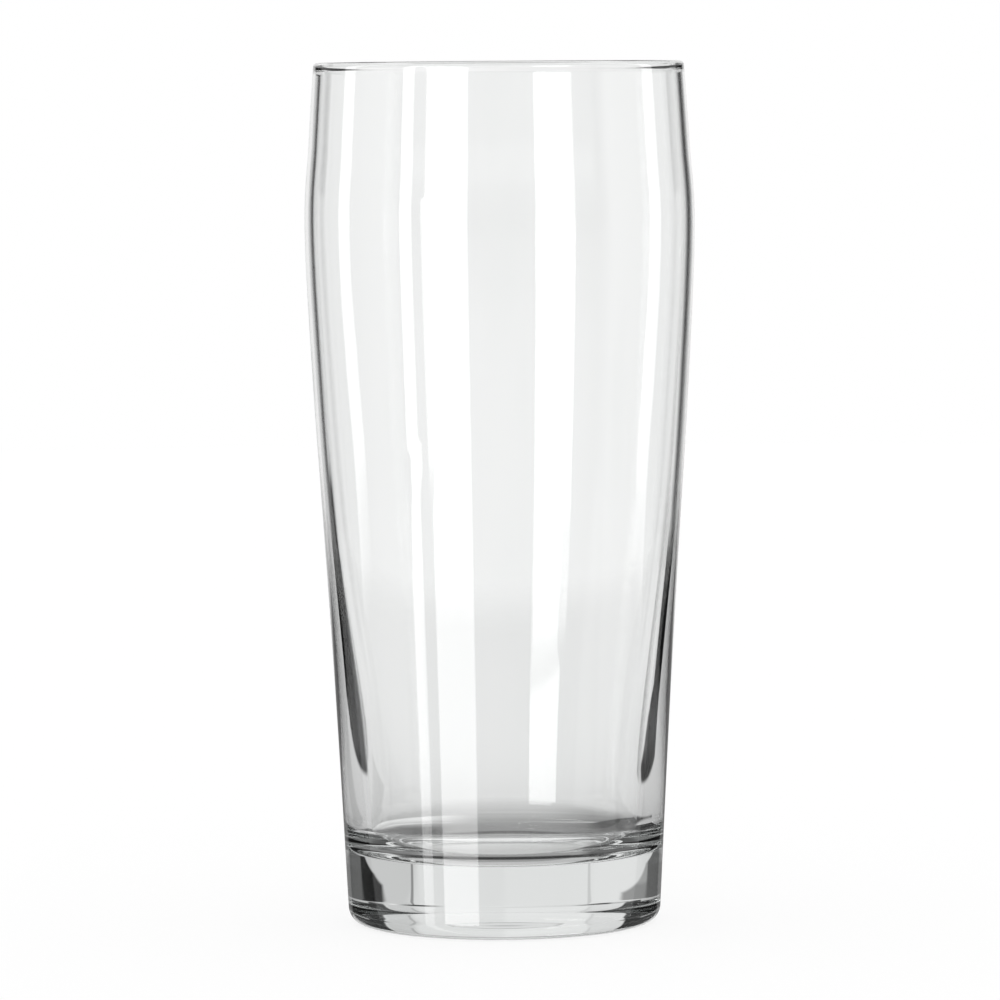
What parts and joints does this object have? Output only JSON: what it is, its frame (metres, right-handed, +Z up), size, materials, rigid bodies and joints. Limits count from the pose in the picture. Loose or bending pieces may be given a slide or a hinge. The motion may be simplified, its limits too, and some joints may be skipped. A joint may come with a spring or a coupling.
{
  "type": "pub glass",
  "caption": "Tall clear drinking glass with a thick solid base, a side that flares gently upwards, a slight bulge below the mouth and a rounded rim.",
  "frame": {"origin": "middle of the foot, on the surface that the glass stands on", "axes": "+Z up along the axis of the glass, towards its mouth; X and Y are any two directions square to it, because the glass is round"},
  "size_m": [0.079, 0.079, 0.1746],
  "materials": {
    "clear_glass": "clear polished soda-lime glass"
  },
  "bodies": {
    "root": {"glass_body": "clear_glass"}
  },
  "joints": []
}
